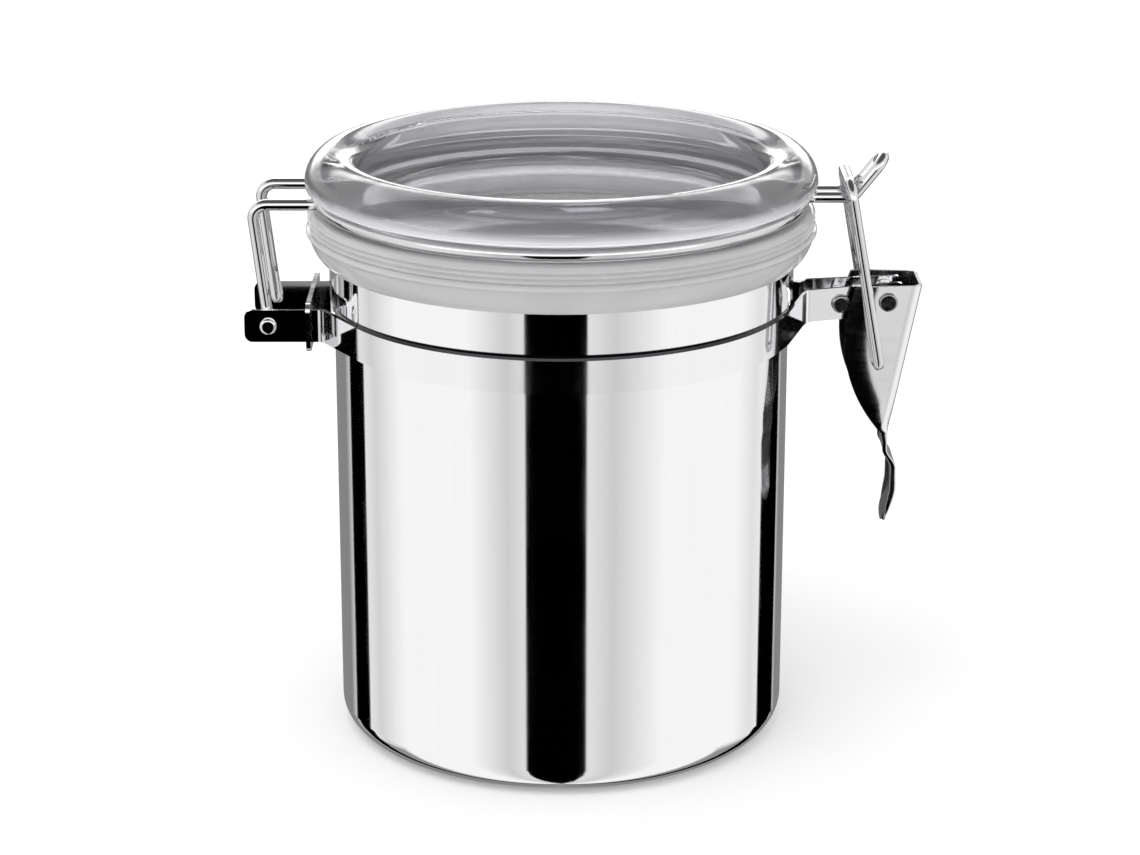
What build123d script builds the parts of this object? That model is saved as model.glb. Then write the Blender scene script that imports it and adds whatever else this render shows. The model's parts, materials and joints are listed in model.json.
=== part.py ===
from build123d import *
import math
import os

# Clip-top food canister: a drawn steel cup, a clear lid on a sprung wire, a seal and an
# over-centre lever latch. Millimetres, +Z up, origin at the centre of the base.
# The hinge is at -X, the latch at +X and the plain front faces -Y.

# Cup
BODY_RADIUS = 51.0
BODY_WALL = 0.6
FOOT_FILLET = 6.0
BASE_GROOVE_RADIUS = 38.0
BASE_GROOVE_WIDTH = 4.0
BASE_GROOVE_LIFT = 0.6
COLLAR_HEIGHT = 14.6
COLLAR_STEP = 1.0
SHOULDER_DRAFT = 0.9
BODY_HEIGHT = 115.0
RIM_BEAD = 2.4
RIM_OVERHANG = 0.2

# Wire of the lid hoop and the bail
WIRE = 2.5
WIRE_BEND = 1.3

# Neck band, in two halves whose ends bend out into ears
BAND_WIDTH = 7.3
BAND_SHEET = 0.9
BAND_FIT = 0.05
BAND_DROP = 0.4
BAND_BEND = 1.0
HINGE_BEND_OUT = 2.0
HINGE_EAR_SPREAD = 24.0
HINGE_PIVOT_OUT = 14.0
HINGE_EAR_TIP = 5.3
LATCH_BEND_OUT = 3.5
LATCH_EAR_SPREAD = 6.6
LATCH_EAR_TURN = 4.6
LATCH_EAR_RISE = 2.5
LATCH_EAR_SLOPE = 4.0
LATCH_EAR_TIP = 4.2
EAR_END_ROUND = 1.8
EAR_STEP_MARGIN = 1.0

# Hinge keeper plate
KEEPER_OUT = 5.0
KEEPER_SHEET = 1.0
KEEPER_MARGIN = 2.5
KEEPER_EDGE = 1.8
KEEPER_FIT = 0.12

# Rivets
BAND_RIVET_OUT = 11.5
BAND_RIVET = 2.6
BAND_RIVET_BARREL = 4.0
LEVER_PIVOT_OUT = 21.8
LEVER_PIVOT_LIFT = 0.4
LEVER_PIVOT = 3.0
SPACER_WALL = 1.0
RIVET_HEAD = 4.2
RIVET_HEAD_HEIGHT = 0.9
LOW_HEAD_HEIGHT = 0.63
HEAD_ROUNDING = 0.7
PIN_FIT = 0.08

# Lid
LID_OVERHANG = 5.0
LID_DOME = 6.8
LID_DOME_HEIGHT = 12.6
WELL_INSET = 7.1
WELL_DEPTH = 12.0
WELL_DRAFT = 0.8
WELL_ROUND = 1.2
WELL_STEP_INSET = 5.2
WELL_STEP = 0.6
FLANGE_ROUND = 1.8
FLOOR_CHAMFER = 1.0
LID_WALL = 2.4
NECK_STEP = 0.6
NECK_HEIGHT = 3.8
SKIRT_GROOVE = 1.95
SKIRT_GROOVE_HEIGHT = 3.5
SKIRT_LIP = 0.8
SKIRT_LIP_HEIGHT = 1.4
SKIRT_LIP_CHAMFER = 0.4
SKIRT_WALL = 3.7
SPIGOT_DROP = 2.2
SPIGOT_CHAMFER = 0.6
HOOP_FIT = 0.15
HOOP_LIFT = 0.75

# Seal
SEAL_OVERHANG = 4.9
SEAL_SQUEEZE_GAP = 0.15
SEAL_WEB = 1.4
SEAL_FIT = 0.05
SEAL_SKIRT = 4.4
SEAL_LIP_GAP = 1.0
SEAL_WIDEST_DROP = 4.9
SEAL_TOP_INSET = 1.3
SEAL_BEAD_STEP = 0.5
SEAL_TOP_CHAMFER = 0.8
SEAL_BULGE_OUT = 0.72
SEAL_BULGE_UP = 0.32
SEAL_LIP_CHAMFER = 0.3

# Lid hoop
ARM_LEAN = 3.2
ARM_BEND = 3.0
ARM_JOIN_BEND = 3.0
ARM_SIDE_FIT = 0.15
PEEN_HEAD = 3.7
PEEN_HEIGHT = 0.9
STRAND_SPREAD = 5.8
STRAND_JOIN_BEND = 2.5
HOOK_OUT = 13.7
HOOK_ANGLE = 52.0
HOOK_LENGTH = 11.0
HOOK_BEND = 2.5

# Lever and bail
LEVER_SHEET = 0.8
LEVER_WIDTH = 16.8
LEVER_SPLAY = 4.8
LEVER_TOP = 3.4
LEVER_WEB_OUT = 7.7
LEVER_WEB_FOOT = 1.0
LEVER_WEB_LENGTH = 34.1
LEVER_CHEEK_BACK = 9.5
CHEEK_TOP_INSET = 2.5
CHEEK_TOP_RISE = 0.6
CHEEK_WIDEST_DROP = 7.0
CHEEK_TAPER_INSET = 2.7
CHEEK_TAPER_DROP = 21.4
CHEEK_FOOT_DROP = 1.5
CHEEK_WEB_LAP = 0.1
TAB_LENGTH = 23.0
TAB_WIDTH = 13.0
TAB_TIP_WIDTH = 10.0
TAB_JOG = 2.2
TAB_WAIST_DROP = 3.0
TAB_WAIST_RISE = 6.0
TAB_JOG_DROP = 8.0
TAB_BELLY = 0.3
TAB_BELLY_DROP = 13.8
TAB_TIP_CURL = 0.9
TAB_CORNER = 3.5
TRIM_SPARE = 2.0
BAIL_EYE_BACK = 1.8
BAIL_EYE_DROP = 14.2
BAIL_REST_BACK = 9.3
BAIL_REST_LIFT = 27.0
BAIL_SIDE_GAP = 0.4
BAIL_TOP_BEND = 3.5
BAIL_END_INSIDE = 1.0

# Places that follow from the sizes above
WIRE_R = WIRE / 2
COLLAR_RADIUS = BODY_RADIUS + COLLAR_STEP
SHOULDER_HEIGHT = BODY_HEIGHT - COLLAR_HEIGHT
BAND_TOP = SHOULDER_HEIGHT - BAND_DROP
BAND_BOTTOM = BAND_TOP - BAND_WIDTH
BAND_MID = BAND_TOP - BAND_WIDTH / 2
BAND_INNER = BODY_RADIUS + BAND_FIT
HINGE_X = -(BODY_RADIUS + HINGE_PIVOT_OUT)
HINGE_Z = BAND_MID
LEVER_X = BODY_RADIUS + LEVER_PIVOT_OUT
BAND_RIVET_X = BODY_RADIUS + BAND_RIVET_OUT
SPACER_RADIUS = LEVER_PIVOT / 2 + SPACER_WALL
EAR_INNER_HINGE = (HINGE_EAR_SPREAD - BAND_SHEET) / 2
EAR_OUTER_HINGE = EAR_INNER_HINGE + BAND_SHEET
EAR_TURN = math.tan(math.radians(LATCH_EAR_TURN))
CHEEK_TURN = math.tan(math.radians(LEVER_SPLAY))
LID_RADIUS = COLLAR_RADIUS + LID_OVERHANG
WELL_RADIUS = COLLAR_RADIUS - WELL_INSET
NECK_RADIUS = COLLAR_RADIUS + NECK_STEP
SEAL_RADIUS = COLLAR_RADIUS + SEAL_OVERHANG
SEAL_FACE = BODY_HEIGHT + SEAL_SQUEEZE_GAP
SKIRT_BOTTOM = SEAL_FACE + SEAL_WEB + SEAL_FIT
LIP_TOP = SKIRT_BOTTOM + SKIRT_LIP_HEIGHT
GROOVE_TOP = LIP_TOP + SKIRT_GROOVE_HEIGHT
NECK_TOP = GROOVE_TOP + NECK_HEIGHT
SEAL_TOP = GROOVE_TOP - 2 * SEAL_FIT
HOOP_Z = SEAL_TOP + HOOP_LIFT + WIRE_R
HOOP_RADIUS = NECK_RADIUS + HOOP_FIT + WIRE_R
CROWN_RADIUS = LID_RADIUS - LID_DOME
LID_TOP = GROOVE_TOP + LID_DOME_HEIGHT
DOME_CENTRE = LID_TOP - LID_DOME
WELL_FLOOR = LID_TOP - WELL_DEPTH
ARM_Y = EAR_INNER_HINGE - ARM_SIDE_FIT - WIRE_R
BAIL_Y = LEVER_WIDTH / 2 + BAIL_SIDE_GAP + WIRE_R
HOOK_CORNER_X = BODY_RADIUS + HOOK_OUT


def ear_inner(x):
    """Distance of a latch ear's inner face from the middle plane; the ears close in outwards."""
    return (LATCH_EAR_SPREAD - BAND_SHEET) / 2 + (LEVER_X - x) * EAR_TURN


def ear_outer(x):
    """Distance of a latch ear's outer face from the middle plane."""
    return ear_inner(x) + BAND_SHEET


def cheek_outer(x):
    """Distance of a lever cheek's outer face from the middle plane; the channel opens inwards."""
    return LEVER_WIDTH / 2 - (x - LEVER_X + LEVER_CHEEK_BACK) * CHEEK_TURN


def ear_centre(x):
    """Height of the middle of a latch ear at distance x from the axis."""
    start = BODY_RADIUS + LATCH_BEND_OUT
    run = max(x - start, 0.0)
    return BAND_MID + LATCH_EAR_RISE + run * math.tan(math.radians(LATCH_EAR_SLOPE))


LEVER_Z = ear_centre(LEVER_X) + LEVER_PIVOT_LIFT
BAIL_EYE = (LEVER_X - BAIL_EYE_BACK, LEVER_Z - BAIL_EYE_DROP)
BAIL_REST = (LEVER_X - BAIL_REST_BACK, LEVER_Z + BAIL_REST_LIFT)


def lathe(points_and_arcs):
    """Turn a closed half-section, given as build123d edges, about the Z axis."""
    return revolve(make_face(Wire(points_and_arcs)), Axis.Z)


def path(points):
    """Straight edges through (radius, height) points in the XZ plane."""
    spots = [Vector(r, 0, z) for r, z in points]
    return [Edge.make_line(a, b) for a, b in zip(spots, spots[1:])]


def arc(start, through, end):
    """One arc through three (radius, height) points in the XZ plane."""
    spots = [Vector(r, 0, z) for r, z in (start, through, end)]
    return [Edge.make_three_point_arc(*spots)]


def quarter(start, end, centre):
    """A round or elliptic quarter turn about a centre, as one edge on its mid point."""
    across = (start[0] - centre[0]) + (end[0] - centre[0])
    up = (start[1] - centre[1]) + (end[1] - centre[1])
    half = math.sqrt(0.5)
    middle = (centre[0] + across * half, centre[1] + up * half)
    return arc(start, middle, end)


def rod(radius, length, y_centre, x, z):
    """A round bar along Y."""
    place = Plane(origin=(x, y_centre - length / 2, z), x_dir=(1, 0, 0), z_dir=(0, 1, 0))
    return extrude(place * Circle(radius), length)


def domed_head(x, y, z, diameter, height, outward):
    """A low rivet head that stands on the face at y and points along outward (+1 or -1)."""
    face = Plane(origin=(x, y, z), x_dir=(1, 0, 0), z_dir=(0, outward, 0))
    head = extrude(face * Circle(diameter / 2), height)
    rim = head.faces().sort_by(Axis.Y)[-1 if outward > 0 else 0].edges()
    return fillet(rim, height * HEAD_ROUNDING)


def body_shell():
    """Drawn cup with a grooved base, a shoulder, a collar and a rolled rim."""
    foot = BODY_RADIUS - FOOT_FILLET
    groove_in = BASE_GROOVE_RADIUS - BASE_GROOVE_WIDTH / 2
    groove_out = BASE_GROOVE_RADIUS + BASE_GROOVE_WIDTH / 2
    slant = BASE_GROOVE_LIFT
    base = [
        (0, 0),
        (groove_in - slant, 0),
        (groove_in, slant),
        (groove_out, slant),
        (groove_out + slant, 0),
        (foot, 0),
    ]
    outer = path(base)
    outer += quarter(
        (BODY_RADIUS - FOOT_FILLET, 0),
        (BODY_RADIUS, FOOT_FILLET),
        (BODY_RADIUS - FOOT_FILLET, FOOT_FILLET),
    )
    wall_top = BODY_HEIGHT - RIM_BEAD / 2
    shoulder_top = SHOULDER_HEIGHT + SHOULDER_DRAFT
    outer += path(
        [
            (BODY_RADIUS, FOOT_FILLET),
            (BODY_RADIUS, SHOULDER_HEIGHT),
            (COLLAR_RADIUS, shoulder_top),
            (COLLAR_RADIUS, wall_top),
            (COLLAR_RADIUS - BODY_WALL, wall_top),
            (COLLAR_RADIUS - BODY_WALL, shoulder_top + BODY_WALL / 2),
            (BODY_RADIUS - BODY_WALL, SHOULDER_HEIGHT + BODY_WALL / 2),
            (BODY_RADIUS - BODY_WALL, FOOT_FILLET),
        ]
    )
    outer += quarter(
        (BODY_RADIUS - BODY_WALL, FOOT_FILLET),
        (BODY_RADIUS - FOOT_FILLET, BODY_WALL),
        (BODY_RADIUS - FOOT_FILLET, FOOT_FILLET),
    )
    inside = [(radius, height + BODY_WALL) for radius, height in reversed(base)]
    outer += path(inside + [(0, 0)])
    bead_radius = COLLAR_RADIUS + RIM_OVERHANG - RIM_BEAD / 2
    bead = Pos(0, 0, wall_top) * Torus(bead_radius, RIM_BEAD / 2)
    return lathe(outer) + bead


def tangent_point(radius, x, y):
    """Where a line through (x, y) touches a circle round the origin, on the side of +y."""
    distance = math.hypot(x, y)
    turn = math.atan2(y, x) + math.acos(radius / distance)
    return radius * math.cos(turn), radius * math.sin(turn)


def band_side(radius, hinge_y, ear_face, shift, bend):
    """One face line of a half band, hinge ear tip to latch ear tip, on the +Y side."""
    hinge_x = BODY_RADIUS + HINGE_BEND_OUT + shift
    latch_x = BODY_RADIUS + LATCH_BEND_OUT + shift
    hinge_touch = tangent_point(radius, hinge_x, hinge_y)
    latch_y = ear_face(latch_x)
    latch_touch = tangent_point(radius, latch_x, latch_y)
    hinge_tip = -HINGE_X + HINGE_EAR_TIP
    latch_tip = LEVER_X + LATCH_EAR_TIP
    hinge = FilletPolyline(
        (-hinge_tip, hinge_y), (-hinge_x, hinge_y), (-hinge_touch[0], hinge_touch[1]), radius=bend
    )
    latch = FilletPolyline(
        latch_touch, (latch_x, latch_y), (latch_tip, ear_face(latch_tip)), radius=bend
    )
    round_cup = ThreePointArc((-hinge_touch[0], hinge_touch[1]), (0, radius), latch_touch)
    return hinge.edges() + round_cup.edges() + latch.edges(), hinge_tip, latch_tip


def ear_outline():
    """Side view that the band is trimmed to: level at the cup, stepped up at the latch."""
    step_start = BODY_RADIUS - EAR_STEP_MARGIN
    step_end = BODY_RADIUS + LATCH_BEND_OUT + EAR_STEP_MARGIN
    tip = LEVER_X + LATCH_EAR_TIP
    half = BAND_WIDTH / 2
    hinge_tip = HINGE_X - HINGE_EAR_TIP
    return FilletPolyline(
        (hinge_tip, BAND_MID - half),
        (step_start, BAND_MID - half),
        (step_end, ear_centre(step_end) - half),
        (tip, ear_centre(tip) - half),
        (tip, ear_centre(tip) + half),
        (step_end, ear_centre(step_end) + half),
        (step_start, BAND_MID + half),
        (hinge_tip, BAND_MID + half),
        radius=EAR_END_ROUND,
        close=True,
    )


def half_band(side):
    """Front (side -1) or rear (side +1) half of the neck band with its ears and holes."""
    inner, hinge_tip, latch_tip = band_side(
        BAND_INNER, EAR_INNER_HINGE, ear_inner, -BAND_SHEET * 0.6, BAND_BEND
    )
    outer, hinge_tip, latch_tip = band_side(
        BAND_INNER + BAND_SHEET, EAR_OUTER_HINGE, ear_outer, 0.0, BAND_BEND + BAND_SHEET
    )
    ends = [
        Edge.make_line(Vector(-hinge_tip, EAR_INNER_HINGE), Vector(-hinge_tip, EAR_OUTER_HINGE)),
        Edge.make_line(Vector(latch_tip, ear_inner(latch_tip)), Vector(latch_tip, ear_outer(latch_tip))),
    ]
    flat = make_face(Wire(list(inner) + list(outer) + ends))
    tall = extrude(Pos(0, 0, BAND_BOTTOM - BAND_WIDTH) * flat, BAND_WIDTH * 3)
    side_view = make_face(Plane.XZ * Wire(ear_outline().edges()))
    band = tall & extrude(side_view, BODY_RADIUS * 2, both=True)
    for x, z, size in (
        (HINGE_X, HINGE_Z, WIRE),
        (BAND_RIVET_X, ear_centre(BAND_RIVET_X), BAND_RIVET),
        (LEVER_X, LEVER_Z, LEVER_PIVOT),
    ):
        band -= rod(size / 2 + PIN_FIT, HINGE_EAR_SPREAD * 2, 0, x, z)
    return band if side > 0 else mirror(band, Plane.XZ)


def hinge_keeper():
    """Slotted plate that the four band ears pass through, next to the cup."""
    width = HINGE_EAR_SPREAD + BAND_SHEET + 2 * KEEPER_MARGIN
    height = BAND_WIDTH + 2 * KEEPER_EDGE
    x = -(BODY_RADIUS + KEEPER_OUT)
    plate = Pos(x, 0, BAND_MID) * Box(KEEPER_SHEET, width, height)
    plate = fillet(plate.edges().filter_by(Axis.X), KEEPER_EDGE)
    slot = Box(KEEPER_SHEET * 3, BAND_SHEET + 2 * KEEPER_FIT, BAND_WIDTH + 2 * KEEPER_FIT)
    for side in (-1, 1):
        plate -= Pos(x, side * HINGE_EAR_SPREAD / 2, BAND_MID) * slot
    return plate


def band_rivet():
    """Shouldered rivet that holds the two latch ears apart and together."""
    z = ear_centre(BAND_RIVET_X)
    barrel_end = ear_inner(BAND_RIVET_X + BAND_RIVET_BARREL / 2)
    barrel = rod(BAND_RIVET_BARREL / 2, 2 * barrel_end - PIN_FIT, 0, BAND_RIVET_X, z)
    seat = ear_outer(BAND_RIVET_X - RIVET_HEAD / 2)
    shank = rod(BAND_RIVET / 2, 2 * seat + RIVET_HEAD_HEIGHT, 0, BAND_RIVET_X, z)
    rivet = barrel + shank
    for side in (-1, 1):
        face = side * (seat + PIN_FIT / 2)
        rivet += domed_head(BAND_RIVET_X, face, z, RIVET_HEAD, RIVET_HEAD_HEIGHT, side)
    return rivet


def lever_pivot_rivet():
    """Rivet through both ears and both lever cheeks."""
    seat = cheek_outer(LEVER_X - RIVET_HEAD / 2)
    rivet = rod(LEVER_PIVOT / 2, 2 * seat + RIVET_HEAD_HEIGHT / 2, 0, LEVER_X, LEVER_Z)
    for side in (-1, 1):
        face = side * (seat + PIN_FIT)
        rivet += domed_head(LEVER_X, face, LEVER_Z, RIVET_HEAD, LOW_HEAD_HEIGHT, side)
    return rivet


def tube(y_low, y_high):
    """A spacer tube on the lever pivot, between two Y planes."""
    length = y_high - y_low
    middle = (y_high + y_low) / 2
    outside = rod(SPACER_RADIUS, length, middle, LEVER_X, LEVER_Z)
    return outside - rod(LEVER_PIVOT / 2 + PIN_FIT, length * 2, middle, LEVER_X, LEVER_Z)


def ear_spacer():
    """Tube that keeps the two latch ears apart on the lever pivot."""
    reach = ear_inner(LEVER_X + SPACER_RADIUS) - PIN_FIT / 2
    return tube(-reach, reach)


def cheek_spacers():
    """Two tubes that centre the lever on the ears."""
    low = ear_outer(LEVER_X - SPACER_RADIUS) + PIN_FIT / 2
    high = cheek_outer(LEVER_X + SPACER_RADIUS) - LEVER_SHEET - PIN_FIT * 2
    return Compound(children=[tube(low, high), tube(-high, -low)])


def lid():
    """Clear moulded lid: domed hollow rim, sunk well, wire neck, seal groove and spigot."""
    inner_skirt = NECK_RADIUS - SKIRT_WALL
    lip = NECK_RADIUS - SKIRT_LIP
    groove = NECK_RADIUS - SKIRT_GROOVE
    well_low = WELL_RADIUS - WELL_DRAFT
    spigot_outer = WELL_RADIUS + LID_WALL - WELL_DRAFT
    spigot_inner = spigot_outer - LID_WALL
    spigot_bottom = BODY_HEIGHT - SPIGOT_DROP
    slot_outer = inner_skirt
    slot_inner = WELL_RADIUS + LID_WALL
    slot_top = LID_TOP - LID_WALL - (slot_outer - slot_inner) / 2
    slot_mid = (slot_outer + slot_inner) / 2
    flange_flat = LID_RADIUS - FLANGE_ROUND
    well_turn = well_low - WELL_ROUND
    well_step = well_low - WELL_STEP_INSET
    raised_floor = WELL_FLOOR + WELL_STEP
    edge = CROWN_RADIUS - WELL_RADIUS
    floor_under = WELL_FLOOR - LID_WALL
    outline = path(
        [
            (inner_skirt, SKIRT_BOTTOM),
            (lip - SKIRT_LIP_CHAMFER, SKIRT_BOTTOM),
            (lip, SKIRT_BOTTOM + SKIRT_LIP_CHAMFER),
            (lip, LIP_TOP),
            (groove, LIP_TOP),
            (groove, GROOVE_TOP),
            (NECK_RADIUS, GROOVE_TOP),
            (NECK_RADIUS, NECK_TOP),
            (flange_flat, NECK_TOP),
        ]
    )
    outline += quarter((flange_flat, NECK_TOP), (LID_RADIUS, DOME_CENTRE), (flange_flat, DOME_CENTRE))
    outline += quarter((LID_RADIUS, DOME_CENTRE), (CROWN_RADIUS, LID_TOP), (CROWN_RADIUS, DOME_CENTRE))
    outline += quarter(
        (CROWN_RADIUS, LID_TOP), (WELL_RADIUS, LID_TOP - edge), (CROWN_RADIUS, LID_TOP - edge)
    )
    outline += path([(WELL_RADIUS, LID_TOP - edge), (well_low, WELL_FLOOR + WELL_ROUND)])
    outline += quarter(
        (well_low, WELL_FLOOR + WELL_ROUND), (well_turn, WELL_FLOOR), (well_turn, WELL_FLOOR + WELL_ROUND)
    )
    outline += path(
        [
            (well_turn, WELL_FLOOR),
            (well_step, WELL_FLOOR),
            (well_step - WELL_STEP, raised_floor),
            (0, raised_floor),
            (0, floor_under),
            (spigot_inner - FLOOR_CHAMFER, floor_under),
            (spigot_inner, floor_under - FLOOR_CHAMFER),
            (spigot_inner, spigot_bottom),
            (spigot_outer - SPIGOT_CHAMFER, spigot_bottom),
            (spigot_outer, spigot_bottom + SPIGOT_CHAMFER),
            (slot_inner, NECK_TOP),
            (slot_inner, slot_top),
        ]
    )
    outline += arc(
        (slot_inner, slot_top),
        (slot_mid, slot_top + (slot_outer - slot_inner) / 2),
        (slot_outer, slot_top),
    )
    outline += path([(slot_outer, slot_top), (inner_skirt, SKIRT_BOTTOM)])
    return lathe(outline)


def gasket():
    """Soft ring stretched into the lid's groove, with a skirt round the rim of the cup."""
    inner_skirt = NECK_RADIUS - SKIRT_WALL
    groove = NECK_RADIUS - SKIRT_GROOVE + SEAL_FIT
    pocket = NECK_RADIUS - SKIRT_LIP + SEAL_FIT
    lip = COLLAR_RADIUS + SEAL_LIP_GAP
    bottom = BODY_HEIGHT - SEAL_SKIRT
    widest = SEAL_TOP - SEAL_WIDEST_DROP
    shoulder = SEAL_RADIUS - SEAL_BEAD_STEP
    edge = lip + SEAL_LIP_CHAMFER
    outline = path(
        [
            (inner_skirt, SEAL_FACE),
            (inner_skirt, SEAL_FACE + SEAL_WEB),
            (pocket, SEAL_FACE + SEAL_WEB),
            (pocket, LIP_TOP + SEAL_FIT),
            (groove, LIP_TOP + SEAL_FIT),
            (groove, SEAL_TOP),
            (SEAL_RADIUS - SEAL_TOP_INSET, SEAL_TOP),
        ]
    )
    outline += path(
        [
            (SEAL_RADIUS - SEAL_TOP_INSET, SEAL_TOP),
            (shoulder, SEAL_TOP - SEAL_TOP_CHAMFER),
            (shoulder, widest + SEAL_BEAD_STEP),
            (SEAL_RADIUS, widest),
        ]
    )
    outline += arc(
        (SEAL_RADIUS, widest),
        (lip + (SEAL_RADIUS - lip) * SEAL_BULGE_OUT, bottom + (widest - bottom) * SEAL_BULGE_UP),
        (edge, bottom),
    )
    outline += path(
        [(edge, bottom), (lip, bottom + SEAL_LIP_CHAMFER), (lip, SEAL_FACE), (inner_skirt, SEAL_FACE)]
    )
    return lathe(outline)


def sweep_wire(edges):
    """A round wire along joined edges."""
    spine = Wire(edges)
    start = Plane(origin=spine @ 0, z_dir=spine % 0)
    return sweep(start * Circle(WIRE_R), path=spine)


def join_arcs(line_y, bend):
    """Bend that leads a straight strand at line_y round onto the hoop (both as x, y)."""
    reach = HOOP_RADIUS + bend
    centre = (math.sqrt(reach**2 - (line_y + bend) ** 2), line_y + bend)
    on_line = (centre[0], line_y)
    on_hoop = (centre[0] * HOOP_RADIUS / reach, centre[1] * HOOP_RADIUS / reach)
    towards = math.hypot(on_line[0] + on_hoop[0] - 2 * centre[0], on_line[1] + on_hoop[1] - 2 * centre[1])
    middle = (
        centre[0] + (on_line[0] + on_hoop[0] - 2 * centre[0]) * bend / towards,
        centre[1] + (on_line[1] + on_hoop[1] - 2 * centre[1]) * bend / towards,
    )
    return on_line, middle, on_hoop


def hoop_half(side):
    """Edges of half the lid wire, from the hook's crown back to the hinge pin."""
    arm_join = join_arcs(ARM_Y, ARM_JOIN_BEND)
    strand_join = join_arcs(STRAND_SPREAD / 2, STRAND_JOIN_BEND)
    angle = math.radians(HOOK_ANGLE)
    strand_y = STRAND_SPREAD / 2
    straight = HOOK_LENGTH - strand_y
    turn_x = HOOK_CORNER_X + straight * math.cos(angle)
    turn_z = HOOP_Z + straight * math.sin(angle)
    tip = Vector(
        HOOK_CORNER_X + HOOK_LENGTH * math.cos(angle), 0, HOOP_Z + HOOK_LENGTH * math.sin(angle)
    )
    half_turn = math.sqrt(0.5)
    bulge = straight + strand_y * half_turn
    turn_mid = Vector(
        HOOK_CORNER_X + bulge * math.cos(angle),
        side * strand_y * half_turn,
        HOOP_Z + bulge * math.sin(angle),
    )
    edges = [Edge.make_three_point_arc(tip, turn_mid, Vector(turn_x, side * strand_y, turn_z))]
    strand = FilletPolyline(
        (turn_x, side * strand_y, turn_z),
        (HOOK_CORNER_X, side * strand_y, HOOP_Z),
        (strand_join[0][0], side * strand_y, HOOP_Z),
        radius=HOOK_BEND,
    )
    edges += strand.edges()
    spots = [Vector(x, side * y, HOOP_Z) for x, y in strand_join]
    edges.append(Edge.make_three_point_arc(*spots))
    hoop_end = Vector(-arm_join[2][0], side * arm_join[2][1], HOOP_Z)
    edges.append(Edge.make_three_point_arc(spots[2], Vector(0, side * HOOP_RADIUS, HOOP_Z), hoop_end))
    back = [Vector(-x, side * y, HOOP_Z) for x, y in reversed(arm_join)]
    edges.append(Edge.make_three_point_arc(*back))
    pin_end = EAR_OUTER_HINGE + PIN_FIT
    arm = FilletPolyline(
        (-arm_join[0][0], side * ARM_Y, HOOP_Z),
        (HINGE_X - ARM_LEAN, side * ARM_Y, HOOP_Z),
        (HINGE_X, side * ARM_Y, HINGE_Z),
        (HINGE_X, side * (pin_end + PEEN_HEIGHT / 2), HINGE_Z),
        radius=[ARM_BEND, WIRE_BEND],
    )
    return edges + list(arm.edges())


def lid_wire():
    """One bent wire: hook, hoop, hinge arms and the riveted-over pins at their ends."""
    wire = sweep_wire(hoop_half(-1)) + sweep_wire(hoop_half(1))
    for side in (-1, 1):
        face = side * (EAR_OUTER_HINGE + PIN_FIT)
        wire += domed_head(HINGE_X, face, HINGE_Z, PEEN_HEAD, PEEN_HEIGHT, side)
    return wire


def lever_profile():
    """Side view of the web and the finger tab, as a thin closed outline."""
    web_foot = -LEVER_WEB_LENGTH + LEVER_TOP
    outer = [
        (LEVER_WEB_OUT, LEVER_TOP),
        (LEVER_WEB_FOOT, web_foot),
        (LEVER_WEB_FOOT - CHEEK_WEB_LAP, web_foot - TAB_WAIST_DROP),
        (LEVER_WEB_FOOT + TAB_JOG, web_foot - TAB_JOG_DROP),
        (LEVER_WEB_FOOT + TAB_JOG + TAB_BELLY, web_foot - TAB_BELLY_DROP),
        (LEVER_WEB_FOOT + TAB_JOG - TAB_TIP_CURL, web_foot - TAB_LENGTH),
    ]
    inner = [(x - LEVER_SHEET, z) for x, z in reversed(outer)]
    spots = [(LEVER_X + x, 0, LEVER_Z + z) for x, z in outer + inner]
    return make_face(Wire.make_polygon([Vector(*spot) for spot in spots], close=True))


def lever_cheek():
    """Side view of a cheek: straight along the web, leaf-shaped towards the cup."""
    web_foot = -LEVER_WEB_LENGTH + LEVER_TOP
    back = LEVER_CHEEK_BACK
    right = LEVER_X + LEVER_WEB_FOOT
    top_left = Vector(LEVER_X - back + CHEEK_TOP_INSET, 0, LEVER_Z + LEVER_TOP + CHEEK_TOP_RISE)
    top_right = Vector(LEVER_X + LEVER_WEB_OUT - CHEEK_WEB_LAP, 0, LEVER_Z + LEVER_TOP)
    low_right = Vector(right - CHEEK_WEB_LAP, 0, LEVER_Z + web_foot)
    low_left = Vector(right - LEVER_SHEET, 0, LEVER_Z + web_foot - CHEEK_FOOT_DROP)
    widest = Vector(LEVER_X - back, 0, LEVER_Z - CHEEK_WIDEST_DROP)
    taper = Vector(LEVER_X - back + CHEEK_TAPER_INSET, 0, LEVER_Z - CHEEK_TAPER_DROP)
    edges = [Edge.make_line(top_left, top_right), Edge.make_line(top_right, low_right)]
    edges.append(Edge.make_line(low_right, low_left))
    curve = Edge.make_spline([top_left, widest, taper, low_left])
    return make_face(Wire(edges + [curve]))


def splayed_block(outline, trim):
    """The side outline as a solid as wide as the splayed channel, less trim on each side."""
    near = LEVER_X - LEVER_CHEEK_BACK - TRIM_SPARE
    far = LEVER_X + LEVER_WEB_OUT + TRIM_SPARE
    plan = Wire.make_polygon(
        [
            Vector(near, -cheek_outer(near) + trim, 0),
            Vector(far, -cheek_outer(far) + trim, 0),
            Vector(far, cheek_outer(far) - trim, 0),
            Vector(near, cheek_outer(near) - trim, 0),
        ],
        close=True,
    )
    column = extrude(make_face(plan), LEVER_Z * 2)
    return extrude(outline, LEVER_WIDTH, both=True) & column


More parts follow.
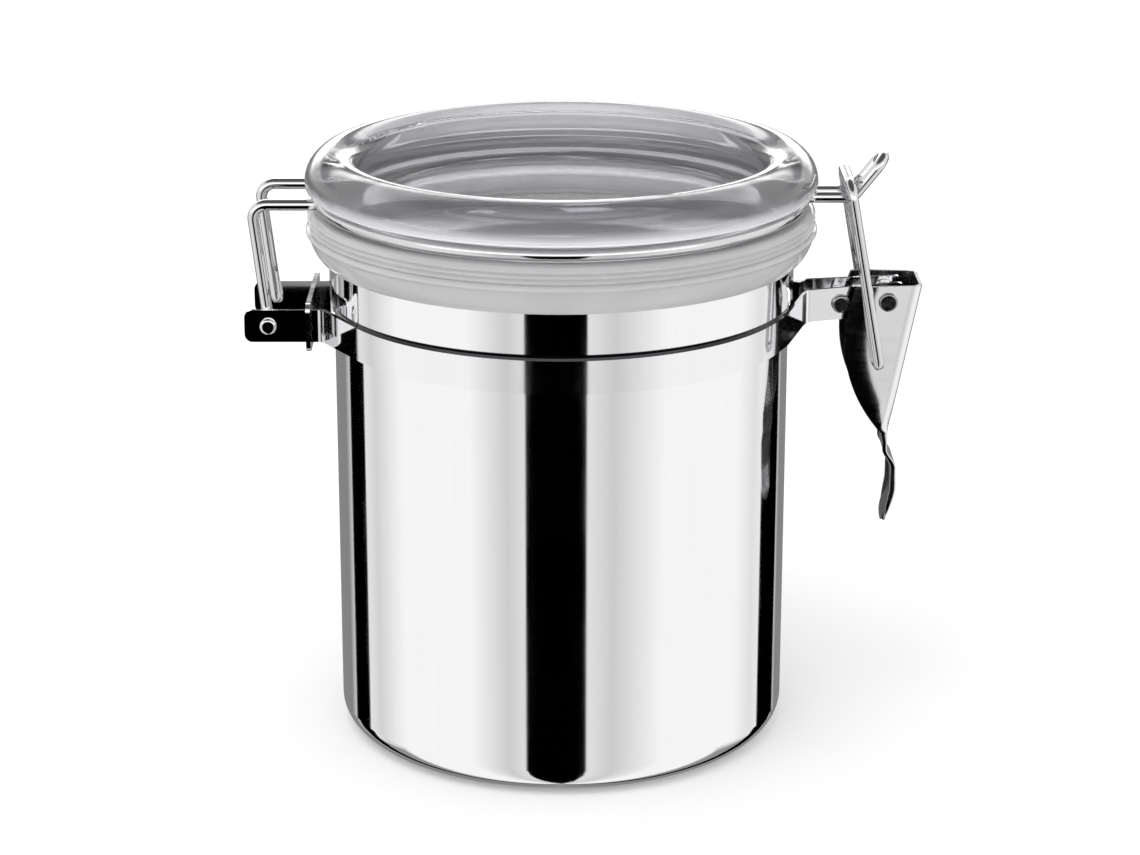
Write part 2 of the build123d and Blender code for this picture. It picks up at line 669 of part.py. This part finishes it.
def lever():
    """Stamped channel: two leaf cheeks, a web on the outside and a finger tab."""
    web_foot = LEVER_Z - LEVER_WEB_LENGTH + LEVER_TOP
    above = LEVER_Z + LEVER_TOP + 2 * TAB_CORNER
    waist_top = web_foot + TAB_WAIST_RISE
    waist = web_foot - TAB_WAIST_DROP
    tip = web_foot - TAB_LENGTH
    front = FilletPolyline(
        (-LEVER_WIDTH / 2, above),
        (-LEVER_WIDTH / 2, waist_top),
        (-TAB_WIDTH / 2, waist),
        (-TAB_TIP_WIDTH / 2, tip),
        (TAB_TIP_WIDTH / 2, tip),
        (TAB_WIDTH / 2, waist),
        (LEVER_WIDTH / 2, waist_top),
        (LEVER_WIDTH / 2, above),
        radius=TAB_CORNER,
        close=True,
    )
    mask = extrude(make_face(Plane.YZ * Wire(front.edges())), LEVER_X * 2)
    web = splayed_block(lever_profile(), 0.0) & mask
    cheeks = splayed_block(lever_cheek(), 0.0) - splayed_block(lever_cheek(), LEVER_SHEET)
    body = web + cheeks
    body -= rod(LEVER_PIVOT / 2 + PIN_FIT, LEVER_WIDTH * 2, 0, LEVER_X, LEVER_Z)
    body -= rod(WIRE_R + PIN_FIT, LEVER_WIDTH * 2, 0, *BAIL_EYE)
    return body


def bail():
    """Sprung wire loop, pivoted in the lever's cheeks, that pulls down in the hook."""
    length = math.dist(BAIL_EYE, BAIL_REST)
    along = Vector(BAIL_REST[0] - BAIL_EYE[0], 0, BAIL_REST[1] - BAIL_EYE[1]).normalized()
    start = Vector(BAIL_EYE[0], 0, BAIL_EYE[1])
    end_y = cheek_outer(BAIL_EYE[0]) - LEVER_SHEET - BAIL_END_INSIDE

    def spot(y, distance):
        return start + along * distance + Vector(0, y, 0)

    loop = FilletPolyline(
        spot(-end_y, 0),
        spot(-BAIL_Y, 0),
        spot(-BAIL_Y, length),
        spot(BAIL_Y, length),
        spot(BAIL_Y, 0),
        spot(end_y, 0),
        radius=[WIRE_BEND, BAIL_TOP_BEND, BAIL_TOP_BEND, WIRE_BEND],
    )
    return sweep_wire(loop.edges())


NODES = {
    "body_shell": body_shell,
    "front_band": lambda: half_band(-1),
    "rear_band": lambda: half_band(1),
    "hinge_keeper": hinge_keeper,
    "band_rivet": band_rivet,
    "lever_pivot_rivet": lever_pivot_rivet,
    "ear_spacer": ear_spacer,
    "cheek_spacers": cheek_spacers,
    "lever": lever,
    "bail": bail,
    "lid": lid,
    "gasket": gasket,
    "lid_wire": lid_wire,
}

os.makedirs("parts", exist_ok=True)
for name, build in NODES.items():
    export_step(build(), f"parts/{name}.step")
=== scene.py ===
import json
import math

import bmesh
import bpy
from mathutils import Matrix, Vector


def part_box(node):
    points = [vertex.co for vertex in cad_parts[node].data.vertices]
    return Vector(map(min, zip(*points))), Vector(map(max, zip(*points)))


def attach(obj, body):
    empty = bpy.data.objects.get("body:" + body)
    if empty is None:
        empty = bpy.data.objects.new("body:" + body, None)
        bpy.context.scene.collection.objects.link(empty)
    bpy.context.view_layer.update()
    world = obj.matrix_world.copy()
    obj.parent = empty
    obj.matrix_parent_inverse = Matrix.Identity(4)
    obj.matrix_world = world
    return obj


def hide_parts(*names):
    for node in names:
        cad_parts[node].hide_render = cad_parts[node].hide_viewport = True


# Clip-top food canister: the look of each piece, the studio round it and the camera.
# Everything is in metres; MM turns a size in millimetres into metres.
MM = 0.001

# Camera: straight on to the plain front, a little above the lid
TARGET = Vector((0.0, 0.0, 70 * MM))
CAMERA_DISTANCE = 700 * MM
CAMERA_ELEVATION = math.radians(17.8)
SENSOR_WIDTH = 36.0
FOCAL_LENGTH = 96.9
SHIFT_X = 0.0075
SHIFT_Y = -0.0046

# Studio: upright flats round the object, which only reflections see, on a white surround.
# Each is (start, end, brightness, softness). Angles are in degrees from -Y, positive towards +X.
FLATS = (
    (-18.0, 12.6, 0.0, 0.8),
    (-136.0, -119.0, 0.0, 0.8),
    (123.5, 145.5, 0.0, 0.8),
    (-36.0, -18.0, 0.62, 22.0),
    (12.6, 40.0, 0.66, 26.0),
    (-181.0, -136.0, 0.24, 14.0),
    (145.5, 181.0, 0.24, 8.0),
    (-119.0, -98.0, 0.70, 20.0),
    (108.0, 123.5, 0.80, 16.0),
)
# Ranges below are parts of a direction of length 1: how far it points up, or towards the rear
FLAT_TOP = (-0.12, 0.04)
CEILING = (0.64, 0.80)
CEILING_BRIGHTNESS = 0.10
FLOOR_FADE = (-0.60, -0.48)
BACK_FADE = (0.02, 0.12)
FLOOR_BRIGHTNESS = 0.3
SHELF = (0.22, 0.38)
SHELF_FADE = (0.5, 0.8)
SHELF_BRIGHTNESS = 0.06
# Level bright strips: (heights, (rear range, share at its two ends), gain)
STRIPS = (
    ((0.08, 0.42), (-0.5, -0.3, 1.0, 0.0), 0.8),
    ((0.0, 0.22), (0.88, 0.95, 0.0, 1.0), 2.6),
    ((0.36, 0.60), (0.76, 0.84, 0.0, 1.0), 2.6),
)
STRIP_SOFT = 0.05
ROOM_BRIGHTNESS = 1.08
FLOOR_RADIUS = 4.0
KEY_PLACE = (-0.35, -0.5, 1.4)
KEY_POWER = 4.0
KEY_SIZE = 0.8

# The numbers from here to the lever's tables are in millimetres, but for shares and steps.
# Painted shade: a dark line painted into the cup's colour in its shoulder, above the middle height of the
# keeper plate
CREASE = (3.5, 5.0)
CREASE_SOFT = 0.1

# Lid: painted highlight, a pale band of less clear plastic low on the thick rim. It fades to clear upwards
# over PAINTED_BAND_HEIGHT, from RIM_DROP below the lid's top, and from clear to pale outwards over
# PAINTED_BAND_INSET, in from the lid's edge.
RIM_DROP = 8.8
PAINTED_BAND_HEIGHT = (1.2, 3.6)
PAINTED_BAND_INSET = (6.0, 3.0)
# Transmission of the clear lid, and of the painted pale band in its rim
CLEAR, PAINTED_BAND_CLEARNESS = 0.93, 0.25

# Seal: distances in from its widest radius, and up from its lower edge
SEAL_BORE = 8.0
SEAL_NECK = 6.2
SEAL_POCKET = 5.05
SEAL_SKIRT = 3.9
SEAL_ROOT = 0.85
SEAL_FACE = 4.55
SEAL_WEB = 5.95
SEAL_LIP = 7.45
SEAL_BEAD = 5.9
RIBS = 3
RIB_STEPS = 8
RIB_DEPTH = 0.42

# Lever: its sheet, and heights and distances from its pivot. Tables are (height, distance).
LEVER_SHEET = 0.8
LEVER_EDGE = 0.1
LEVER_TOP = 3.5
LEVER_FOOT = -30.7
LEVER_TIP = -53.6
LEVER_TIP_ROUND = 4.0
LEVER_SLOPE = 6.7 / 34.1
LEVER_SPLAY = math.tan(math.radians(4.8))
LEVER_BACK = 9.5
LEVER_MOUTH = 8.38
LEVER_BEND = 1.7
LEVER_WAIST = -22.0
SPLAY_END = -36.0
SPLAY_FADE = 5.0
CURL_REACH = 5.5
CURL_SHARE = 0.65
CURL_DEPTH = 0.113
ROW_STEP = 0.75
TIP_ROW_STEP = 0.3
CHEEK_STEPS = 14
BEND_STEPS = 6
LEVER_LEAF = [(-32.5, 0.6), (-21.4, -6.8), (-7.0, -9.4), (4.0, -7.0)]
LEVER_JOG = [(-53.6, 1.25), (-44.5, 3.35), (-39.5, 3.15), (-35.0, 0.95), (-30.7, 1.0)]
LEVER_DISH = [(-53.6, 0.3), (-46.0, 1.5), (-36.0, 1.1), (-33.5, 1.0), (-30.7, 1.5)]
LEVER_HALF = [(-53.6, 5.0), (-36.0, 6.2), (-22.0, 7.355)]

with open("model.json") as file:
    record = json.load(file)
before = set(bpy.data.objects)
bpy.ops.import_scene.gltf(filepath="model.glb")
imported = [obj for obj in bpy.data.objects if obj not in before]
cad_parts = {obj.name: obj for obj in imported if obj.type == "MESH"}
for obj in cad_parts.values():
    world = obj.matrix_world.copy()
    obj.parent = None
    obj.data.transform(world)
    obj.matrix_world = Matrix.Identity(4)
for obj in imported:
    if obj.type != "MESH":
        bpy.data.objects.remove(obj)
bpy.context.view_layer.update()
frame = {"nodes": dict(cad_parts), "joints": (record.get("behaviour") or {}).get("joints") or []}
NODES = frame["nodes"]


# ---------------------------------------------------------------- node helpers
def new_material(name):
    """A material with an empty node tree but for its Principled shader and output."""
    material = bpy.data.materials.new(name)
    material.use_nodes = True
    return material, material.node_tree, material.node_tree.nodes["Principled BSDF"]


def add(tree, kind, **values):
    """A node of that kind with its properties and input values set."""
    node = tree.nodes.new(kind)
    for key, value in values.items():
        if hasattr(node, key):
            setattr(node, key, value)
        else:
            node.inputs[key.replace("_", " ")].default_value = value
    return node


def ramp(tree, source, low, high, value_low, value_high):
    """Maps the source from low..high to value_low..value_high."""
    node = add(tree, "ShaderNodeMapRange")
    tree.links.new(source, node.inputs["Value"])
    for key, value in (("From Min", low), ("From Max", high), ("To Min", value_low), ("To Max", value_high)):
        node.inputs[key].default_value = value
    return node.outputs["Result"]


def noise(tree, scale, detail=3.0, stretch=(1.0, 1.0, 1.0)):
    """Noise in the object's own coordinates, stretched along an axis by a small scale there."""
    place = add(tree, "ShaderNodeTexCoord")
    mapping = add(tree, "ShaderNodeMapping")
    mapping.inputs["Scale"].default_value = stretch
    tree.links.new(place.outputs["Object"], mapping.inputs["Vector"])
    texture = add(tree, "ShaderNodeTexNoise", Scale=scale, Detail=detail)
    tree.links.new(mapping.outputs["Vector"], texture.inputs["Vector"])
    return texture.outputs["Fac"]


def bump(tree, shader, height, strength, distance):
    """Bump from a height field onto the shader."""
    node = add(tree, "ShaderNodeBump", Strength=strength, Distance=distance)
    tree.links.new(height, node.inputs["Height"])
    tree.links.new(node.outputs["Normal"], shader.inputs["Normal"])
    return node


def combine(tree, operation, first, second):
    """Two values put together by one math operation."""
    node = add(tree, "ShaderNodeMath", operation=operation)
    tree.links.new(first, node.inputs[0])
    tree.links.new(second, node.inputs[1])
    return node.outputs[0]


def blend(tree, factor, first, second):
    """A colour that goes from first to second as the factor goes from 0 to 1."""
    node = add(tree, "ShaderNodeMix", data_type="RGBA")
    node.inputs[6].default_value = (*first, 1)
    node.inputs[7].default_value = (*second, 1)
    tree.links.new(factor, node.inputs[0])
    return node


def object_position(tree):
    """The point's own position as a vector, and its height."""
    place = add(tree, "ShaderNodeTexCoord")
    split = add(tree, "ShaderNodeSeparateXYZ")
    tree.links.new(place.outputs["Object"], split.inputs[0])
    return place.outputs["Object"], split.outputs["Z"]


# ---------------------------------------------------------------- materials
def steel(name, shade, rough, stretch, waviness, crease=None):
    """Polished stainless steel with fine polishing lines and a faint waviness.

    rough is its lowest and highest roughness. A crease is a (low, high) range of heights where
    a dark painted shade line goes into the base colour."""
    material, tree, shader = new_material(name)
    shader.inputs["Metallic"].default_value = 1.0
    fine = noise(tree, 900.0, 4.0, stretch)
    broad = noise(tree, 45.0, 2.0)
    lines = ramp(tree, fine, 0.3, 0.7, *rough)
    smudge = ramp(tree, broad, 0.35, 0.75, 0.0, rough[0] * 0.8)
    tree.links.new(combine(tree, "ADD", lines, smudge), shader.inputs["Roughness"])
    tint = blend(tree, fine, [c * 0.96 for c in shade], shade)
    colour = tint.outputs[2]
    if crease:
        colour = creased(tree, colour, crease)
    tree.links.new(colour, shader.inputs["Base Color"])
    height = combine(tree, "ADD", broad, ramp(tree, fine, 0.0, 1.0, 0.0, 0.06))
    bump(tree, shader, height, waviness, 0.2 * MM)
    return material


def creased(tree, colour, crease):
    """The colour with a painted shade line, near black, between two heights."""
    height = object_position(tree)[1]
    soft = CREASE_SOFT * MM
    low, high = crease
    above = ramp(tree, height, high - soft, high + soft, 0.0, 1.0)
    below = ramp(tree, height, low - soft, low + soft, 1.0, 0.0)
    # Painted shade: between the two heights the base colour goes to near black, as shade in the shoulder
    # step
    painted_shade = blend(tree, combine(tree, "MAXIMUM", above, below), (0.05, 0.05, 0.055), (1, 1, 1))
    tree.links.new(colour, painted_shade.inputs[7])
    return painted_shade.outputs[2]


def clear_plastic():
    """Moulded plastic, clear with a grey cast, flow marks and haze; low on its thick rim it is made less
    clear, a painted pale band that stands in for light.
    """
    material, tree, shader = new_material("clear_plastic")
    shader.inputs["IOR"].default_value = 1.49
    position, height = object_position(tree)
    flat = add(tree, "ShaderNodeVectorMath", operation="MULTIPLY")
    flat.inputs[1].default_value = (1, 1, 0)
    tree.links.new(position, flat.inputs[0])
    out = add(tree, "ShaderNodeVectorMath", operation="LENGTH")
    tree.links.new(flat.outputs["Vector"], out.inputs[0])
    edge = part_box("lid")[1]
    rim = edge.z - RIM_DROP * MM
    low, high = (rim + rise * MM for rise in PAINTED_BAND_HEIGHT)
    inner, outer = (edge.x - inset * MM for inset in PAINTED_BAND_INSET)
    outside = ramp(tree, out.outputs["Value"], inner, outer, 0.0, 1.0)
    # Painted highlight: low and outer on the rim the plastic is made less clear, so it shows as a pale band
    pale_band = combine(tree, "MINIMUM", outside, ramp(tree, height, low, high, 1.0, 0.0))
    tree.links.new(ramp(tree, pale_band, 0.0, 1.0, CLEAR, PAINTED_BAND_CLEARNESS), shader.inputs["Transmission Weight"])
    flow = noise(tree, 60.0, 3.0, (1.0, 1.0, 2.5))
    haze = noise(tree, 700.0, 4.0)
    tree.links.new(ramp(tree, haze, 0.35, 0.75, 0.04, 0.09), shader.inputs["Roughness"])
    tint = blend(tree, flow, (0.80, 0.80, 0.82), (0.86, 0.86, 0.88))
    tree.links.new(tint.outputs[2], shader.inputs["Base Color"])
    bump(tree, shader, flow, 0.12, 0.3 * MM)
    return material


def seal_rubber():
    """Translucent whitish seal: cloudy, with a soft sheen and a faintly uneven surface."""
    material, tree, shader = new_material("seal_rubber")
    cloud = noise(tree, 90.0, 3.0, (1.0, 1.0, 1.5))
    grain = noise(tree, 500.0, 2.0, (1.0, 1.0, 3.0))
    tint = blend(tree, cloud, (0.60, 0.60, 0.61), (0.70, 0.70, 0.71))
    tree.links.new(tint.outputs[2], shader.inputs["Base Color"])
    tree.links.new(ramp(tree, grain, 0.3, 0.7, 0.11, 0.17), shader.inputs["Roughness"])
    shader.inputs["Transmission Weight"].default_value = 0.3
    shader.inputs["IOR"].default_value = 1.43
    shader.inputs["Subsurface Weight"].default_value = 0.25
    shader.inputs["Subsurface Radius"].default_value = (1.0, 1.0, 1.0)
    shader.inputs["Subsurface Scale"].default_value = 2 * MM
    bump(tree, shader, cloud, 0.05, 0.2 * MM)
    return material


def floor_paint():
    """Plain pale matt floor."""
    material, tree, shader = new_material("floor_paint")
    tint = blend(tree, noise(tree, 30.0, 2.0), (0.93, 0.93, 0.93), (0.95, 0.95, 0.95))
    tree.links.new(tint.outputs[2], shader.inputs["Base Color"])
    shader.inputs["Roughness"].default_value = 0.9
    shader.inputs["Specular IOR Level"].default_value = 0.0
    return material


# ---------------------------------------------------------------- studio
def compass_angle(tree, split):
    """The direction's compass angle in radians, from -Y and positive towards +X."""
    back = add(tree, "ShaderNodeMath", operation="MULTIPLY")
    tree.links.new(split.outputs["Y"], back.inputs[0])
    back.inputs[1].default_value = -1.0
    return combine(tree, "ARCTAN2", split.outputs["X"], back.outputs[0])


def upright_flats(tree, angle):
    """Brightness by compass angle: the flats on a white surround, the darkest counting."""
    bright = None
    for start, end, value, soft in FLATS:
        half = math.radians((end - start) / 2)
        edge = math.radians(soft) / 2
        away = add(tree, "ShaderNodeMath", operation="SUBTRACT")
        tree.links.new(angle, away.inputs[0])
        away.inputs[1].default_value = math.radians((start + end) / 2)
        size = add(tree, "ShaderNodeMath", operation="ABSOLUTE")
        tree.links.new(away.outputs[0], size.inputs[0])
        flat = ramp(tree, size.outputs[0], half - edge, half + edge, value, 1.0)
        bright = flat if bright is None else combine(tree, "MINIMUM", bright, flat)
    return bright


def strip(tree, up, heights, side):
    """1 inside a level strip of directions on one side, 0 outside it."""
    low, high = heights
    rise = ramp(tree, up, low, low + STRIP_SOFT, 0.0, 1.0)
    fall = ramp(tree, up, high - STRIP_SOFT, high, 1.0, 0.0)
    return combine(tree, "MINIMUM", combine(tree, "MINIMUM", rise, fall), side)


def reflected_room(tree):
    """Brightness that reflections see: flats, a dim ceiling, a dim floor behind and soft strips."""
    place = add(tree, "ShaderNodeTexCoord")
    split = add(tree, "ShaderNodeSeparateXYZ")
    tree.links.new(place.outputs["Generated"], split.inputs[0])
    up, rear = split.outputs["Z"], split.outputs["Y"]
    flats = upright_flats(tree, compass_angle(tree, split))
    light = combine(tree, "MAXIMUM", flats, ramp(tree, up, *FLAT_TOP, 0.0, 1.0))
    light = combine(tree, "MINIMUM", light, ramp(tree, up, *CEILING, 1.0, CEILING_BRIGHTNESS))
    behind = ramp(tree, rear, *BACK_FADE, 1.0, FLOOR_BRIGHTNESS)
    beneath = ramp(tree, up, *FLOOR_FADE, FLOOR_BRIGHTNESS, 1.0)
    light = combine(tree, "MINIMUM", light, combine(tree, "MAXIMUM", behind, beneath))
    shelf = strip(tree, up, SHELF, ramp(tree, rear, *SHELF_FADE, 0.0, 1.0))
    light = combine(tree, "MINIMUM", light, ramp(tree, shelf, 0.0, 1.0, 1.0, SHELF_BRIGHTNESS))
    for heights, fade, gain in STRIPS:
        glow = strip(tree, up, heights, ramp(tree, rear, *fade))
        light = combine(tree, "ADD", light, ramp(tree, glow, 0.0, 1.0, 0.0, gain))
    return light


def studio_world():
    """Plain white room as light and background, with the studio's flats in reflections."""
    world = bpy.data.worlds.new("studio")
    bpy.context.scene.world = world
    world.use_nodes = True
    tree = world.node_tree
    tree.nodes.clear()
    mirror = add(tree, "ShaderNodeBackground", Strength=1.0)
    tree.links.new(reflected_room(tree), mirror.inputs["Color"])
    plain = add(tree, "ShaderNodeBackground", Strength=ROOM_BRIGHTNESS)
    plain.inputs["Color"].default_value = (1, 1, 1, 1)
    rays = add(tree, "ShaderNodeLightPath")
    choose = add(tree, "ShaderNodeMixShader")
    output = add(tree, "ShaderNodeOutputWorld")
    tree.links.new(rays.outputs["Is Glossy Ray"], choose.inputs["Fac"])
    tree.links.new(plain.outputs[0], choose.inputs[1])
    tree.links.new(mirror.outputs[0], choose.inputs[2])
    tree.links.new(choose.outputs[0], output.inputs["Surface"])


def studio():
    """Pale floor, soft key light and the white room."""
    studio_world()
    bpy.ops.mesh.primitive_circle_add(vertices=96, radius=FLOOR_RADIUS, fill_type="NGON")
    floor = bpy.context.object
    floor.name = "floor"
    floor.data.materials.append(floor_paint())
    floor.visible_glossy = False
    light = bpy.data.lights.new("key", "AREA")
    light.energy = KEY_POWER
    light.size = KEY_SIZE
    key = bpy.data.objects.new("key", light)
    key.location = KEY_PLACE
    key.rotation_euler = (TARGET - key.location).to_track_quat("-Z", "Y").to_euler()
    bpy.context.scene.collection.objects.link(key)
    key.visible_glossy = False


def camera():
    """The photographed view."""
    data = bpy.data.cameras.new("camera")
    data.sensor_width = SENSOR_WIDTH
    data.lens = FOCAL_LENGTH
    data.shift_x = SHIFT_X
    data.shift_y = SHIFT_Y
    seat = bpy.data.objects.new("camera", data)
    back = Vector((0, -math.cos(CAMERA_ELEVATION), math.sin(CAMERA_ELEVATION)))
    seat.location = TARGET + back * CAMERA_DISTANCE
    seat.rotation_euler = (-back).to_track_quat("-Z", "Y").to_euler()
    bpy.context.scene.collection.objects.link(seat)
    bpy.context.scene.camera = seat


# ---------------------------------------------------------------- shaped pieces
def new_piece(name, vertices, faces, material, sharp=40.0):
    """A smooth-shaded mesh with edges kept sharp past that angle in degrees."""
    mesh = bpy.data.meshes.new(name)
    mesh.from_pydata(vertices, [], faces)
    mesh.update()
    work = bmesh.new()
    work.from_mesh(mesh)
    bmesh.ops.recalc_face_normals(work, faces=work.faces)
    work.to_mesh(mesh)
    work.free()
    mesh.shade_smooth()
    mesh.set_sharp_from_angle(angle=math.radians(sharp))
    mesh.materials.append(material)
    piece = bpy.data.objects.new(name, mesh)
    bpy.context.scene.collection.objects.link(piece)
    return piece


def lathe(name, section, material, steps=288):
    """A closed (radius, height) section in millimetres, turned about the Z axis."""
    vertices = []
    for i in range(steps):
        turn = 2 * math.pi * i / steps
        for radius, height in section:
            vertices.append((radius * MM * math.cos(turn), radius * MM * math.sin(turn), height * MM))
    count = len(section)
    faces = []
    for i in range(steps):
        for j in range(count):
            a, b = i * count, (i + 1) % steps * count
            k = (j + 1) % count
            faces.append((a + j, a + k, b + k, b + j))
    return new_piece(name, vertices, faces, material, 35.0)


def bow(start, through, end, steps):
    """Points of a parabola-like curve through three points, its start left out."""
    points = []
    for i in range(1, steps + 1):
        t = i / steps
        points.append(
            tuple(
                s * (1 - t) * (1 - 2 * t) + m * 4 * t * (1 - t) + e * t * (2 * t - 1)
                for s, m, e in zip(start, through, end)
            )
        )
    return points


def seal_section():
    """The seal's closed section: three fine ribs, a widest bead with a notch, and a smooth skirt."""
    low, high = (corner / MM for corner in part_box("gasket"))
    widest, top, bottom = high.x, high.z, low.z
    neck, pocket, bore = widest - SEAL_NECK, widest - SEAL_POCKET, widest - SEAL_BORE
    root, skirt = widest - SEAL_ROOT, widest - SEAL_SKIRT
    face, web, lip, bead = (bottom + up for up in (SEAL_FACE, SEAL_WEB, SEAL_LIP, SEAL_BEAD))
    section = [(bore, face), (bore, web), (pocket, web), (pocket, lip), (neck, lip), (neck, top)]
    section += [(widest - 2.0, top), (widest - 1.3, top - 0.25)]
    rib_top, rib_bottom = top - 0.6, bead + 0.9
    for i in range(RIBS * RIB_STEPS + 1):
        wave = 0.5 - 0.5 * math.cos(2 * math.pi * i / RIB_STEPS)
        height = rib_top + (rib_bottom - rib_top) * i / (RIBS * RIB_STEPS)
        section.append((root + RIB_DEPTH * wave, height))
    section += bow((root, rib_bottom), (widest, bead + 0.1), (widest - 0.45, bead - 0.55), 10)
    notch = (widest - 0.6, bead - 0.7)
    section.append(notch)
    section += bow(notch, (widest - 1.6, bottom + 2.3), (skirt + 0.5, bottom), 16)
    return section + [(skirt + 0.1, bottom + 0.1), (skirt, bottom + 0.5), (skirt, face)]


def seal_ring(material):
    """The soft seal under the lid's rim."""
    piece = lathe("seal_ring", seal_section(), material)
    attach(piece, "lid_assembly")
    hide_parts("gasket")


def joint_place(name):
    """A joint's position in millimetres."""
    place = next(joint["pos_m"] for joint in frame["joints"] if joint["name"] == name)
    return Vector(place) / MM


def through(points, at):
    """The polynomial through a few (height, value) points, at a height."""
    total = 0.0
    for i, (zi, value) in enumerate(points):
        for j, (zj, _) in enumerate(points):
            if i != j:
                value *= (at - zj) / (zi - zj)
        total += value
    return total


def between(points, at):
    """Eased interpolation through rising (height, value) points."""
    if at <= points[0][0]:
        return points[0][1]
    for (z0, v0), (z1, v1) in zip(points, points[1:]):
        if at <= z1:
            share = (at - z0) / (z1 - z0)
            share = share * share * (3 - 2 * share)
            return v0 + (v1 - v0) * share
    return points[-1][1]


def lever_row(depth, web, splay, z):
    """One level section of the lever's outer skin, far edge to near edge, as (x, y) from the pivot."""
    half = LEVER_MOUTH - (web + LEVER_BACK) * splay
    if z < LEVER_WAIST:
        half = min(half, between(LEVER_HALF, z))
    if z < LEVER_TIP + LEVER_TIP_ROUND:
        drop = (LEVER_TIP + LEVER_TIP_ROUND - z) / LEVER_TIP_ROUND
        half = half - LEVER_TIP_ROUND * (1 - math.sqrt(max(0.0, 1 - drop * drop)))
    corner = min(LEVER_BEND, depth * (0.55 if z > LEVER_FOOT else 0.2))
    reach = min(CURL_REACH, CURL_SHARE * depth)
    side = []
    for i in range(CHEEK_STEPS + 1):
        back = depth - (depth - corner) * i / CHEEK_STEPS
        curl = max(0.0, 1 - (depth - back) / reach)
        side.append((web - back, half + back * splay - CURL_DEPTH * reach * curl * curl))
    for i in range(1, BEND_STEPS + 1):
        turn = math.radians(90 * i / BEND_STEPS)
        side.append((web - corner + corner * math.sin(turn), half - corner + corner * math.cos(turn)))
    flat = half - corner
    side += [(web, flat - flat * i / BEND_STEPS) for i in range(1, BEND_STEPS + 1)]
    return side + [(x, -y) for x, y in reversed(side[:-1])]


def lever_heights():
    """Heights of the lever's sections from its top to its tip, closer together at the tip."""
    heights = [LEVER_TOP]
    while heights[-1] > LEVER_TIP:
        step = ROW_STEP if heights[-1] > LEVER_TIP + 4.5 else TIP_ROW_STEP
        heights.append(heights[-1] - step)
    return heights[:-1] + [LEVER_TIP]


def lever_skin(material, shade_material):
    """The stamped lever: two leaf cheeks that curl in, a web and a dished finger tab.

    Its inside and its cut edges take shade_material, a near-black steel that is painted shade inside the
    channel and along its edges."""
    pivot = joint_place("lever_swing")
    vertices, faces = [], []
    rows = lever_heights()
    for z in rows:
        if z > LEVER_FOOT:
            web = 1.0 + (z - LEVER_FOOT) * LEVER_SLOPE
            depth = max(web - through(LEVER_LEAF, z), between(LEVER_DISH, z))
        else:
            web = between(LEVER_JOG, z)
            depth = between(LEVER_DISH, z)
        splay = LEVER_SPLAY * min(1.0, max(0.0, (z - SPLAY_END) / SPLAY_FADE))
        for x, y in lever_row(depth, web, splay, z):
            vertices.append(((pivot.x + x) * MM, y * MM, (pivot.z + z) * MM))
    count = len(vertices) // len(rows)
    for i in range(len(rows) - 1):
        for j in range(count - 1):
            a = i * count + j
            faces.append((a, a + 1, a + count + 1, a + count))
    piece = new_piece("lever_skin", vertices, faces, material, 60.0)
    piece.data.materials.append(shade_material)
    thick = piece.modifiers.new("sheet", "SOLIDIFY")
    thick.thickness = LEVER_SHEET * MM
    # Inside faces and rims take the second material: dark painted shade
    thick.material_offset = 1
    thick.material_offset_rim = 1
    thick.offset = inward_sign(piece, pivot)
    edge = piece.modifiers.new("edge", "BEVEL")
    edge.width = LEVER_EDGE * MM
    edge.harden_normals = True
    edge.segments = 2
    edge.limit_method = "ANGLE"
    edge.angle_limit = math.radians(50)
    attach(piece, "latch_lever")
    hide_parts("lever")


def inward_sign(piece, pivot):
    """+1 if the web's face normals point to the pivot, else -1."""
    centre = Vector((pivot.x * MM, 0, pivot.z * MM))
    face = max(piece.data.polygons, key=lambda f: f.center.x)
    return 1 if face.normal.dot(centre - face.center) > 0 else -1


# ---------------------------------------------------------------- put together
def paint(node, material):
    """Gives a CAD node one material."""
    data = NODES[node].data
    data.materials.clear()
    data.materials.append(material)


def crease_heights():
    """Lowest and highest point of the painted shade line in the cup's shoulder."""
    low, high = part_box("hinge_keeper")
    middle = (low.z + high.z) / 2
    return [middle + rise * MM for rise in CREASE]


def main():
    even = (1.0, 1.0, 1.0)
    upright = (1.0, 1.0, 0.02)
    # The shell's colour carries a painted shade line in its shoulder
    shell = steel("polished_steel_shell", (0.93, 0.93, 0.94), (0.035, 0.06), upright, 0.03, crease_heights())
    sheet = steel("polished_steel_sheet", (0.88, 0.88, 0.89), (0.07, 0.13), (0.05, 1.0, 1.0), 0.06)
    band = steel("polished_steel_band", (0.90, 0.90, 0.91), (0.04, 0.07), (1.0, 1.0, 0.05), 0.04)
    # Painted shade: near-black steel for the lever's inside and cut edges, where shade falls
    edge = steel("painted_shade_steel", (0.16, 0.16, 0.165), (0.16, 0.28), even, 0.1)
    rivet = steel("rivet_steel", (0.34, 0.34, 0.35), (0.12, 0.2), even, 0.1)
    wire = steel("wire_steel", (0.72, 0.72, 0.73), (0.06, 0.12), (1.0, 1.0, 0.08), 0.05)
    lid = clear_plastic()
    rubber = seal_rubber()
    looks = {"body_shell": shell, "front_band": band, "rear_band": band, "hinge_keeper": sheet}
    looks.update({"lever": sheet, "lid": lid, "gasket": rubber, "lid_wire": wire, "bail": wire})
    looks.update(dict.fromkeys(("band_rivet", "lever_pivot_rivet", "ear_spacer", "cheek_spacers"), rivet))
    for node in NODES:
        paint(node, looks[node])
    seal_ring(rubber)
    lever_skin(sheet, edge)
    studio()
    camera()
    bpy.context.scene.view_settings.view_transform = "Standard"


main()
